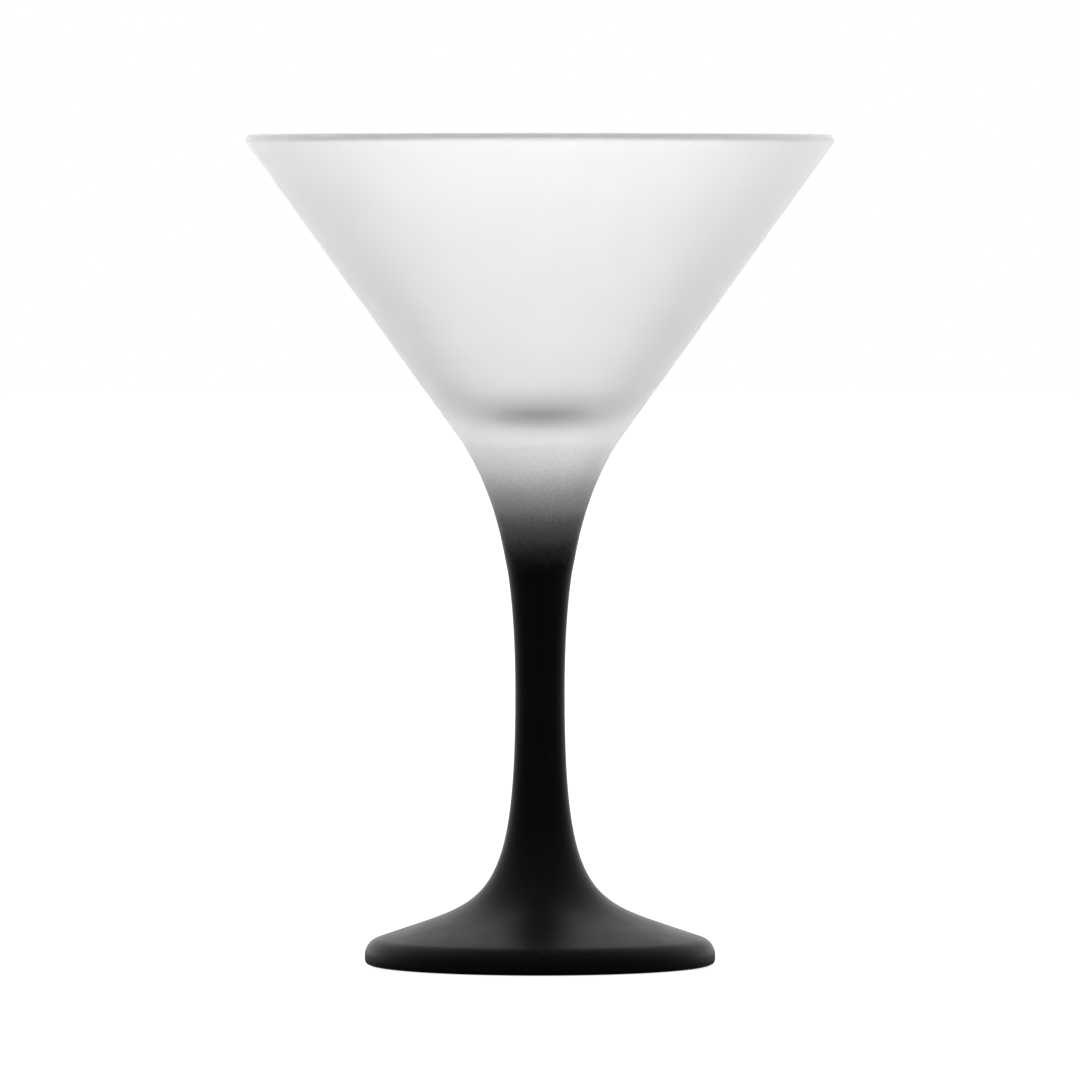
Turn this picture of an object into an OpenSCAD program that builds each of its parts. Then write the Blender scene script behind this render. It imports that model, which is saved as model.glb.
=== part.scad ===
// Martini glass: V-shaped bowl, drawn stem and round foot, welded into one glass,
// with a white frost over the bowl and neck and black sprayed from the foot up to the neck.
// Everything is turned about the Z axis. Z = 0 is the surface that the foot stands on.

/* [Overall] */
// Height from the table to the top of the lip
glass_h = 152.4; // [146:0.2:160]
// Diameter over the lip
rim_d = 108; // [102:1:114]

/* [Bowl] */
// Angle between the bowl's side and the vertical
side_angle = 35.75; // [34:0.25:38]
// Thickness of the glass at the lip
lip_t = 1.8; // [1.2:0.1:2.6]
// Height of the bowl's lowest inside point above where its straight side starts
well_rise = 3; // [2:0.5:5]
// Diameter of the shallow dish at the bottom of the bowl
dish_d = 16; // [12:1:17]
// Radius of the dish's curve
dish_r = 40; // [30:1:50]
// Radius of the round between the dish and the bowl's side
well_r = 18; // [12:1:18]

/* [Neck] */
// Diameter where the straight side of the bowl starts to curve into the neck
neck_d = 30; // [28:1:34]
// Straightness of the neck where it leaves the bowl
neck_pull = 13.5; // [10:0.5:16]
// Straightness of the neck where it joins the waist of the stem
waist_pull_up = 21.5; // [17:0.5:26]

/* [Stem] */
// Diameter of the stem at its waist
waist_d = 9.1; // [7.5:0.1:12]
// Height of the waist
waist_z = 50; // [48:0.5:54]
// Straightness of the stem below its waist
waist_pull_down = 36.5; // [28:0.5:38]

/* [Foot] */
// Diameter of the foot
foot_d = 64.4; // [60:0.2:70]
// Slope of the foot's top near its edge
foot_slope = 18.8; // [14:0.2:20]
// Height of the upright band at the foot's edge, up to where the shoulder starts
band_z = 1.8; // [1.6:0.1:3]
// Radius of the rolled shoulder above the band
shoulder_r = 3.2; // [2:0.1:4.2]
// Radius of the corner below the band
corner_r = 1.1; // [0.8:0.1:1.5]
// Diameter where the straight slope starts to curve up into the stem
flare_d = 47; // [40:1:50]
// Straightness of the flare where it leaves the foot's slope
flare_pull = 15; // [11:0.5:18]
// Width of the flat ring that touches the table
ring_w = 2.5; // [1.5:0.1:4]
// Depth of the hollow under the foot
hollow_h = 1.6; // [0.8:0.1:2.2]

/* [Lacquer] */
// Thickness of the white frost coat
frost_t = 0.1; // [0.08:0.01:0.2]
// Thickness of the black coat, which lies over the frost where they overlap
black_t = 0.1; // [0.08:0.01:0.2]
// How far the frost runs down below where the bowl's straight side starts
frost_drop = 25; // [18:1:30]
// Height of the last black overspray above where the bowl's straight side starts
black_rise = 1; // [-5:1:10]
// Height above the table at which the black coat stops
coat_z = 0.3; // [0.2:0.05:0.6]

/* [Hidden] */

// Round steps in a full turn, and pieces in each stretch of the outline
$fn = 180;
ARC_STEPS = 10;
CURVE_STEPS = 28;

// Heights of the two hot welds: foot to stem and stem to bowl
FOOT_WELD_Z = 16;
BOWL_WELD_Z = 76;

// A height above the whole outline, for a stretch that runs to the top of the lip
ABOVE_ALL = glass_h + 1;

// The frost thins out to nothing over this height at its lower end
FEATHER = 3;

// The bare glass is smaller than the coated one by the coats' thickness
lip_r = lip_t / 2;
lip_c = [rim_d / 2 - frost_t - lip_r, glass_h - frost_t - lip_r];
foot_r = foot_d / 2 - black_t;

// Vectors in the outline's plane, as [radius, height]
function along(angle) = [cos(angle), sin(angle)];
function unit(v) = v / norm(v);

// Points of an arc about c
function arc(c, r, from, to) =
    [for (i = [0:ARC_STEPS]) c + r * along(from + (to - from) * i / ARC_STEPS)];

// A cubic curve through p[0] and p[3], moved outwards by t, without its first point
function cubic(p, u) =
    pow(1 - u, 3) * p[0] + 3 * pow(1 - u, 2) * u * p[1] + 3 * (1 - u) * u * u * p[2] + pow(u, 3) * p[3];
function cubic_dir(p, u) =
    unit(pow(1 - u, 2) * (p[1] - p[0]) + 2 * (1 - u) * u * (p[2] - p[1]) + u * u * (p[3] - p[2]));
function curve(p, t) = [
    for (i = [1:CURVE_STEPS])
        let (u = i / CURVE_STEPS, d = cubic_dir(p, u))
            cubic(p, u) + t * [d[1], -d[0]]
];

// Where the straight stretches start and end on the bare glass
band_c = [foot_r - corner_r, corner_r];
shoulder_c = [foot_r - shoulder_r, band_z];
slope_dir = [-cos(foot_slope), sin(foot_slope)];
slope_start = shoulder_c + shoulder_r * along(90 - foot_slope);
slope_end = slope_start + slope_dir * (slope_start[0] - flare_d / 2) / cos(foot_slope);
waist = [waist_d / 2 - black_t, waist_z];
side_dir = [sin(side_angle), cos(side_angle)];
side_top = lip_c + lip_r * along(-side_angle);
side_start = side_top - side_dir * (side_top[0] - neck_d / 2) / sin(side_angle);
dish_c = [0, side_start[1] + well_rise + dish_r];
dish_half_angle = asin(dish_d / 2 / dish_r);
well_c = dish_c + (dish_r - well_r) * along(dish_half_angle - 90);
frost_low = side_start[1] - frost_drop;
black_high = side_start[1] + black_rise;

FLARE = [slope_end, slope_end + flare_pull * slope_dir, waist - [0, waist_pull_down], waist];
NECK = [waist, waist + [0, waist_pull_up], side_start - neck_pull * side_dir, side_start];

// The whole outside from the table to the top of the lip, moved outwards by t.
// Height rises all the way along it.
function outside(t) = concat(
    arc(band_c, corner_r + t, -90, 0),
    arc(shoulder_c, shoulder_r + t, 0, 90 - foot_slope),
    [slope_end + t * along(90 - foot_slope)],
    curve(FLARE, t),
    curve(NECK, t),
    arc(lip_c, lip_r + t, -side_angle, 90)
);

// The stretch of an outline between two heights, with a point added at each
function at_height(pts, z) = [
    for (i = [1:len(pts) - 1])
        let (a = pts[i - 1], b = pts[i])
            if (a[1] <= z && z < b[1]) a + (b - a) * (z - a[1]) / (b[1] - a[1])
];
function stretch(pts, low, high) = concat(
    at_height(pts, low),
    [for (p = pts) if (p[1] > low && p[1] < high) p],
    at_height(pts, high)
);
function reversed(pts) = [for (i = [len(pts) - 1:-1:0]) pts[i]];
function rest(pts) = [for (i = [1:len(pts) - 1]) pts[i]];

// The inside of the bowl: a cone that touches the lip's round and the well's, and the dish
lip_to_well = lip_c - well_c;
inside_angle = atan2(lip_to_well[1], lip_to_well[0]) + asin((lip_r + well_r) / norm(lip_to_well));
function inside() = concat(
    arc(lip_c, lip_r, 90, inside_angle + 90),
    arc(well_c, well_r, inside_angle - 90, dish_half_angle - 90),
    rest(arc(dish_c, dish_r, dish_half_angle - 90, -90))
);

// The hollow under the foot is a shallow cap of a sphere
hollow_r = foot_r - corner_r - ring_w;
hollow_sphere_r = (pow(hollow_r, 2) + pow(hollow_h, 2)) / (2 * hollow_h);
hollow_half_angle = asin(hollow_r / hollow_sphere_r);
function hollow() = arc([0, hollow_h - hollow_sphere_r], hollow_sphere_r, 90, 90 - hollow_half_angle);

// The surface of the frosted glass moved outwards by t, bare below the frost's feathered end
function frosted(t, low, high) = concat(
    stretch(outside(t), low, frost_low),
    stretch(outside(frost_t + t), frost_low + FEATHER, high)
);

module bowl() {
    color([0.93, 0.95, 0.96, 0.5])
        rotate_extrude()
            polygon(concat(
                [[0, BOWL_WELD_Z]],
                stretch(outside(0), BOWL_WELD_Z, ABOVE_ALL),
                inside()
            ));
}

module stem() {
    color([0.78, 0.82, 0.84, 0.6])
        rotate_extrude()
            polygon(concat(
                [[0, FOOT_WELD_Z]],
                stretch(outside(0), FOOT_WELD_Z, BOWL_WELD_Z),
                [[0, BOWL_WELD_Z]]
            ));
}

module foot() {
    color([0.72, 0.77, 0.8, 0.6])
        rotate_extrude()
            polygon(concat(
                hollow(),
                stretch(outside(0), 0, FOOT_WELD_Z),
                [[0, FOOT_WELD_Z]]
            ));
}

module frost_coat() {
    color("whitesmoke")
        rotate_extrude()
            polygon(concat(
                stretch(outside(frost_t), frost_low + FEATHER, ABOVE_ALL),
                reversed(stretch(outside(0), frost_low, ABOVE_ALL))
            ));
}

module black_coat() {
    color([0.06, 0.06, 0.07])
        rotate_extrude()
            polygon(concat(
                frosted(black_t, coat_z, black_high),
                reversed(frosted(0, coat_z, black_high))
            ));
}

bowl();
stem();
foot();
frost_coat();
black_coat();
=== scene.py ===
import math

import bmesh
import bpy
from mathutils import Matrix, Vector


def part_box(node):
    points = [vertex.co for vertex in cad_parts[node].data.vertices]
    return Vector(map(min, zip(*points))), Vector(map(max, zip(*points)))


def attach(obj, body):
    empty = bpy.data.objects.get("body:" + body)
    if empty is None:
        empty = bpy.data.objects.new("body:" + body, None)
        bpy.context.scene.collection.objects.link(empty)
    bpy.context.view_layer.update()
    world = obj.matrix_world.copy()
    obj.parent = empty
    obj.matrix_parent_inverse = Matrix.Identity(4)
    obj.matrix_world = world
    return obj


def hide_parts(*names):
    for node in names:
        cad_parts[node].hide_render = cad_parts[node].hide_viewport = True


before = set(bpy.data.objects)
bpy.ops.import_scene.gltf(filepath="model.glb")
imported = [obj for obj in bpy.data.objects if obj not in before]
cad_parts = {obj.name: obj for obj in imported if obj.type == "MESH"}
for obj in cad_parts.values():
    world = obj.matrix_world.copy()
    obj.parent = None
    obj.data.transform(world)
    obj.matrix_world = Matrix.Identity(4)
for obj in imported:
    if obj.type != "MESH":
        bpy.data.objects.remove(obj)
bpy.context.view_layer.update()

ROUND = 288  # faces round each turned piece
MM = 0.001
HAIR = 0.02 * MM  # gap that keeps a coat's inner face off the face that it lies on
NEAR_ZERO = 1e-6  # radii smaller than this lie on the axis
ON_SEAM = 1e-7  # how close to the plane Y = 0 a vertex of the seam lies
RING_GAP = 3 * MM  # an outline whose ends are closer than this, off the axis, goes round a coat
SHARP = math.radians(40)  # edges that turn more than this stay sharp
SIDEWAYS = 0.02  # least share of a face's normal that makes it look outward or inward

# Light that the glass sees: the wall behind, the room in front, and the sky behind and in front
WALL, ROOM = 2.0, 0.12
SKY, SKY_FRONT = 1.8, 0.8

# The floor's own white, its glow well behind the glass, and its glow to the camera
FLOOR_WHITE, FLOOR_BEHIND, FLOOR_SEEN = 0.28, 1.1, 0.85
FLOOR_REACH = 6.0  # from the axis to each side
FLOOR_DROP = 0.1 * MM

CAMERA_AT = (0, -2.12, 0.142)
CAMERA_AIM = (0, 0, 78 * MM)
LENS, SENSOR = 385.2, 36

GLASS_IOR = 1.5

# How much the black covers, by how far down its fade a point is
FADE_STOPS = ((0.0, 0.0), (0.12, 0.08), (0.35, 0.41), (0.6, 0.72), (0.8, 0.89), (1.0, 1.0))


# ---------------------------------------------------------------- sections from the frame

def section(node):
    """The outline of a turned CAD node as [(radius, height)], read along the seam at +X."""
    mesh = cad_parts[node].data
    at_seam = [v for v in mesh.vertices if abs(v.co.y) < ON_SEAM and v.co.x > -ON_SEAM]
    seam = {v.index: (v.co.x, v.co.z) for v in at_seam}
    beside = {}
    for edge in mesh.edges:
        a, b = (seam.get(i) for i in edge.vertices)
        if a and b and a != b:
            beside.setdefault(a, set()).add(b)
            beside.setdefault(b, set()).add(a)
    ends = sorted((p for p in beside if len(beside[p]) == 1), key=lambda p: p[1])
    at = ends[0] if ends else min(beside, key=lambda p: p[1])
    walk, before = [at], None
    while True:
        onward = [p for p in sorted(beside[at]) if p != before and p != walk[0]]
        if not onward:
            break
        before, at = at, onward[0]
        walk.append(at)
    return walk


def lathe(name, walk):
    """A closed mesh turned from an outline.

    An outline round a coat closes on itself. Any other one that stops short of the axis gets discs.
    """
    mesh = bpy.data.meshes.new(name)
    bm = bmesh.new()
    rings = []
    for radius, height in walk:
        if radius < NEAR_ZERO:
            rings.append([bm.verts.new((0, 0, height))])
            continue
        turn = [2 * math.pi * i / ROUND for i in range(ROUND)]
        rings.append([bm.verts.new((radius * math.cos(t), radius * math.sin(t), height)) for t in turn])
    on_axis = [len(ring) == 1 for ring in rings]
    round_a_coat = math.dist(walk[0], walk[-1]) < RING_GAP and not on_axis[0]
    pairs = list(zip(rings, rings[1:]))
    if round_a_coat:
        pairs.append((rings[-1], rings[0]))
    for a, b in pairs:
        for i in range(ROUND):
            j = (i + 1) % ROUND
            corners = [a[i % len(a)], a[j % len(a)], b[j % len(b)], b[i % len(b)]]
            bm.faces.new(list(dict.fromkeys(corners)))
    for ring, axis in ((rings[0], on_axis[0]), (rings[-1], on_axis[-1])):
        if not round_a_coat and not axis:
            bm.faces.new(ring)
    bmesh.ops.recalc_face_normals(bm, faces=bm.faces)
    bm.to_mesh(mesh)
    bm.free()
    mesh.shade_smooth()
    mesh.set_sharp_from_angle(angle=SHARP)
    piece = bpy.data.objects.new(name, mesh)
    bpy.context.scene.collection.objects.link(piece)
    return piece


def paint(piece, materials, which):
    """Gives each face the material that which(its middle, its normal) picks by number."""
    for material in materials:
        piece.data.materials.append(material)
    for face in piece.data.polygons:
        face.material_index = which(face.center, face.normal)


def outward(centre, normal):
    """How far a face looks away from the axis, from -1 to 1."""
    radius = math.hypot(centre.x, centre.y)
    return (normal.x * centre.x + normal.y * centre.y) / radius if radius > NEAR_ZERO else 0.0


# ---------------------------------------------------------------- materials

def new_material(name):
    material = bpy.data.materials.new(name)
    material.use_nodes = True
    material.node_tree.nodes.clear()
    return material


def add(tree, kind, values=None, **settings):
    """A node with its settings, and its inputs set by name."""
    node = tree.nodes.new(kind)
    for key, value in settings.items():
        setattr(node, key, value)
    for key, value in (values or {}).items():
        node.inputs[key].default_value = value
    return node


def noise(tree, scale, low, high, detail=2.0):
    """Even noise over the surface, as a value between low and high. The scale is in cells per metre."""
    place = add(tree, "ShaderNodeTexCoord")
    cloud = add(tree, "ShaderNodeTexNoise", {"Scale": scale, "Detail": detail})
    spread = add(tree, "ShaderNodeMapRange", {
        "From Min": 0.3, "From Max": 0.7, "To Min": low, "To Max": high})
    tree.links.new(place.outputs["Object"], cloud.inputs["Vector"])
    tree.links.new(cloud.outputs[0], spread.inputs["Value"])
    return spread.outputs[0]


def smooth_range(tree, **ends):
    """A node that maps one range of values onto another with a soft start and end."""
    values = {name.replace("_", " ").title(): value for name, value in ends.items()}
    return add(tree, "ShaderNodeMapRange", values, interpolation_type="SMOOTHSTEP")


def bump(tree, shaders, scale, depth, strength):
    """Fine relief on all the shaders given."""
    relief = add(tree, "ShaderNodeBump", {"Strength": strength, "Distance": depth})
    tree.links.new(noise(tree, scale, 0.0, 1.0), relief.inputs["Height"])
    for shader in shaders:
        tree.links.new(relief.outputs[0], shader.inputs["Normal"])


def clear_glass():
    """Fire-polished glass with the slow waves that drawing and turning leave in it."""
    material = new_material("clear_glass")
    tree = material.node_tree
    out = add(tree, "ShaderNodeOutputMaterial")
    shader = add(tree, "ShaderNodeBsdfPrincipled", {
        "Base Color": (0.99, 0.995, 0.99, 1),
        "IOR": GLASS_IOR,
        "Transmission Weight": 1.0,
    })
    tree.links.new(noise(tree, 120, 0.015, 0.035), shader.inputs["Roughness"])
    bump(tree, [shader], 70, 0.2 * MM, 0.1)
    tree.links.new(shader.outputs[0], out.inputs["Surface"])
    return material


def bonded():
    """Where lacquer or another piece of the same glass lies on this face, light doesn't turn at it."""
    material = new_material("bonded_face")
    tree = material.node_tree
    out = add(tree, "ShaderNodeOutputMaterial")
    clear = add(tree, "ShaderNodeBsdfTransparent")
    tree.links.new(clear.outputs[0], out.inputs["Surface"])
    return material


def white_frost():
    """Part of the light passes as through etched glass, and a white veil scatters the rest."""
    material = new_material("white_frost")
    tree = material.node_tree
    out = add(tree, "ShaderNodeOutputMaterial")
    etched = add(tree, "ShaderNodeBsdfPrincipled", {
        "Base Color": (0.985, 0.985, 0.985, 1),
        "IOR": GLASS_IOR,
        "Transmission Weight": 1.0,
    })
    milky = add(tree, "ShaderNodeBsdfPrincipled", {"Roughness": 0.5})
    glow = add(tree, "ShaderNodeBsdfTranslucent", {"Color": (0.96, 0.96, 0.96, 1)})
    grain = add(tree, "ShaderNodeMix", data_type="RGBA")
    grain.inputs["A"].default_value = (0.9, 0.9, 0.9, 1)
    grain.inputs["B"].default_value = (0.94, 0.94, 0.94, 1)
    veil = add(tree, "ShaderNodeMixShader", {"Fac": 0.75})
    both = add(tree, "ShaderNodeMixShader")
    tree.links.new(noise(tree, 2600, 0.0, 1.0), grain.inputs["Factor"])
    tree.links.new(grain.outputs["Result"], milky.inputs["Base Color"])
    tree.links.new(noise(tree, 260, 0.42, 0.47), etched.inputs["Roughness"])
    tree.links.new(noise(tree, 160, 0.48, 0.54, detail=6.0), both.inputs["Fac"])
    bump(tree, [etched, milky, glow], 2200, 0.02 * MM, 0.3)
    tree.links.new(milky.outputs[0], veil.inputs[1])
    tree.links.new(glow.outputs[0], veil.inputs[2])
    tree.links.new(etched.outputs[0], both.inputs[1])
    tree.links.new(veil.outputs[0], both.inputs[2])
    tree.links.new(both.outputs[0], out.inputs["Surface"])
    return material


def overspray(tree, low, high):
    """How much the black covers: all at the height low, nothing at the height high, in fine droplets."""
    place = add(tree, "ShaderNodeTexCoord")
    axes = add(tree, "ShaderNodeSeparateXYZ")
    droplets = add(tree, "ShaderNodeMath", operation="ADD")
    drift = add(tree, "ShaderNodeMath", operation="ADD")
    height = add(tree, "ShaderNodeMapRange", {"From Min": high, "From Max": low})
    fade = add(tree, "ShaderNodeValToRGB")
    fade.color_ramp.interpolation = "CARDINAL"
    stops = fade.color_ramp.elements
    for at, cover in FADE_STOPS[1:-1]:
        stops.new(at).color = (cover, cover, cover, 1)
    tree.links.new(place.outputs["Object"], axes.inputs[0])
    tree.links.new(axes.outputs["Z"], droplets.inputs[0])
    tree.links.new(noise(tree, 3200, -0.9 * MM, 0.9 * MM), droplets.inputs[1])
    tree.links.new(droplets.outputs[0], drift.inputs[0])
    tree.links.new(noise(tree, 90, -0.4 * MM, 0.4 * MM), drift.inputs[1])
    tree.links.new(drift.outputs[0], height.inputs["Value"])
    tree.links.new(height.outputs[0], fade.inputs["Fac"])
    return fade.outputs["Color"]


def black_lacquer(low, high):
    """Satin black with a faint orange peel, thinning out upwards into overspray."""
    material = new_material("black_lacquer")
    tree = material.node_tree
    out = add(tree, "ShaderNodeOutputMaterial")
    satin = add(tree, "ShaderNodeBsdfPrincipled", {"Specular IOR Level": 0.036})
    pigment = add(tree, "ShaderNodeMix", data_type="RGBA")
    pigment.inputs["A"].default_value = (0.0034, 0.0034, 0.0036, 1)
    pigment.inputs["B"].default_value = (0.0046, 0.0046, 0.0048, 1)
    clear = add(tree, "ShaderNodeBsdfTransparent")
    cover = add(tree, "ShaderNodeMixShader")
    tree.links.new(noise(tree, 1800, 0.0, 1.0), pigment.inputs["Factor"])
    tree.links.new(pigment.outputs["Result"], satin.inputs["Base Color"])
    tree.links.new(noise(tree, 220, 0.36, 0.41), satin.inputs["Roughness"])
    bump(tree, [satin], 900, 0.03 * MM, 0.25)
    tree.links.new(overspray(tree, low, high), cover.inputs["Fac"])
    tree.links.new(clear.outputs[0], cover.inputs[1])
    tree.links.new(satin.outputs[0], cover.inputs[2])
    tree.links.new(cover.outputs[0], out.inputs["Surface"])
    return material


# ---------------------------------------------------------------- pieces

COAT_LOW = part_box("black_coat")[0].z
FADE_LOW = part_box("frost_coat")[0].z
FADE_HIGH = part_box("black_coat")[1].z

GLASS = clear_glass()
BONDED = bonded()
FROST = white_frost()
BLACK = black_lacquer(FADE_LOW, FADE_HIGH)


def make_glass(name, node):
    """Glass: bare where nothing lies on it, bonded under the coats and at the welds."""
    piece = lathe(name, section(node))
    low, high = (corner.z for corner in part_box(node))

    def bare(centre, normal):
        at_end = min(centre.z - low, high - centre.z) < HAIR
        at_weld = at_end and math.hypot(centre.x, centre.y) < MM
        coated = outward(centre, normal) > SIDEWAYS and centre.z > COAT_LOW
        return 1 if at_weld or coated else 0

    paint(piece, [GLASS, BONDED], bare)
    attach(piece, "root")
    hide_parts(node)


def make_coat(name, node, material):
    """A coat shows on its outer face. Its inner face is bonded to what it lies on."""
    piece = lathe(name, section(node))
    inner = [vertex for vertex in piece.data.vertices if outward(vertex.co, vertex.normal) < 0]
    for vertex in inner:
        vertex.co.xy *= 1 + HAIR / vertex.co.xy.length

    def hidden(centre, normal):
        return 1 if outward(centre, normal) <= -SIDEWAYS else 0

    paint(piece, [material, BONDED], hidden)
    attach(piece, "root")
    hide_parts(node)


make_glass("bowl_glass", "bowl")
make_glass("stem_glass", "stem")
make_glass("foot_glass", "foot")
make_coat("frost_lacquer", "frost_coat", FROST)
make_coat("black_spray", "black_coat", BLACK)


# ---------------------------------------------------------------- stage, light and camera

def make_floor():
    """Plain white to the camera. What it throws on the glass grows towards the wall behind."""
    mesh = bpy.data.meshes.new("floor")
    corners = [(x * FLOOR_REACH, y * FLOOR_REACH, 0) for x, y in ((-1, -1), (1, -1), (1, 1), (-1, 1))]
    mesh.from_pydata(corners, [], [(0, 1, 2, 3)])
    floor = bpy.data.objects.new("floor", mesh)
    bpy.context.scene.collection.objects.link(floor)
    material = new_material("floor_white")
    tree = material.node_tree
    out = add(tree, "ShaderNodeOutputMaterial")
    place = add(tree, "ShaderNodeTexCoord")
    axes = add(tree, "ShaderNodeSeparateXYZ")
    behind = smooth_range(tree, from_min=0.0, from_max=0.3, to_max=FLOOR_BEHIND)
    path = add(tree, "ShaderNodeLightPath")
    seen = add(tree, "ShaderNodeMix")
    seen.inputs["B"].default_value = FLOOR_SEEN
    shader = add(tree, "ShaderNodeBsdfPrincipled", {
        "Base Color": (FLOOR_WHITE, FLOOR_WHITE, FLOOR_WHITE, 1), "Roughness": 0.9,
        "Specular IOR Level": 0.0, "Emission Color": (1, 1, 1, 1),
    })
    tree.links.new(place.outputs["Object"], axes.inputs[0])
    tree.links.new(axes.outputs["Y"], behind.inputs["Value"])
    tree.links.new(path.outputs["Is Camera Ray"], seen.inputs["Factor"])
    tree.links.new(behind.outputs[0], seen.inputs["A"])
    tree.links.new(seen.outputs["Result"], shader.inputs["Emission Strength"])
    tree.links.new(shader.outputs[0], out.inputs["Surface"])
    floor.data.materials.append(material)
    floor.location.z = -FLOOR_DROP


def make_world():
    """A soft sky over a bright wall behind and a dark room in front. To the camera it is plain white."""
    world = bpy.data.worlds.new("studio")
    bpy.context.scene.world = world
    world.use_nodes = True
    tree = world.node_tree
    tree.nodes.clear()
    out = add(tree, "ShaderNodeOutputWorld")
    place = add(tree, "ShaderNodeTexCoord")
    axes = add(tree, "ShaderNodeSeparateXYZ")
    horizon = smooth_range(tree, from_min=-0.2, from_max=0.9, to_min=ROOM, to_max=WALL)
    upward = smooth_range(tree, from_min=0.1, from_max=0.5)
    sky = smooth_range(tree, from_min=-0.5, from_max=0.2, to_min=SKY_FRONT, to_max=SKY)
    strength = add(tree, "ShaderNodeMix")
    path = add(tree, "ShaderNodeLightPath")
    seen = add(tree, "ShaderNodeMix")
    seen.inputs["B"].default_value = 1.0
    light = add(tree, "ShaderNodeBackground", {"Color": (1, 1, 1, 1)})
    tree.links.new(place.outputs["Generated"], axes.inputs[0])
    tree.links.new(axes.outputs["Y"], horizon.inputs["Value"])
    tree.links.new(axes.outputs["Y"], sky.inputs["Value"])
    tree.links.new(sky.outputs[0], strength.inputs["B"])
    tree.links.new(axes.outputs["Z"], upward.inputs["Value"])
    tree.links.new(upward.outputs[0], strength.inputs["Factor"])
    tree.links.new(horizon.outputs[0], strength.inputs["A"])
    tree.links.new(path.outputs["Is Camera Ray"], seen.inputs["Factor"])
    tree.links.new(strength.outputs["Result"], seen.inputs["A"])
    tree.links.new(seen.outputs["Result"], light.inputs["Strength"])
    tree.links.new(light.outputs[0], out.inputs["Surface"])


def make_camera():
    data = bpy.data.cameras.new("camera")
    camera = bpy.data.objects.new("camera", data)
    bpy.context.scene.collection.objects.link(camera)
    camera.location = CAMERA_AT
    camera.rotation_euler = (Vector(CAMERA_AIM) - camera.location).to_track_quat("-Z", "Y").to_euler()
    data.sensor_width = SENSOR
    data.lens = LENS
    data.clip_start, data.clip_end = 0.01, 100
    bpy.context.scene.camera = camera


make_floor()
make_world()
make_camera()
bpy.context.scene.view_settings.view_transform = "Standard"
cycles = bpy.context.scene.cycles
cycles.transparent_max_bounces = 32
cycles.max_bounces = 24
cycles.transmission_bounces = 24
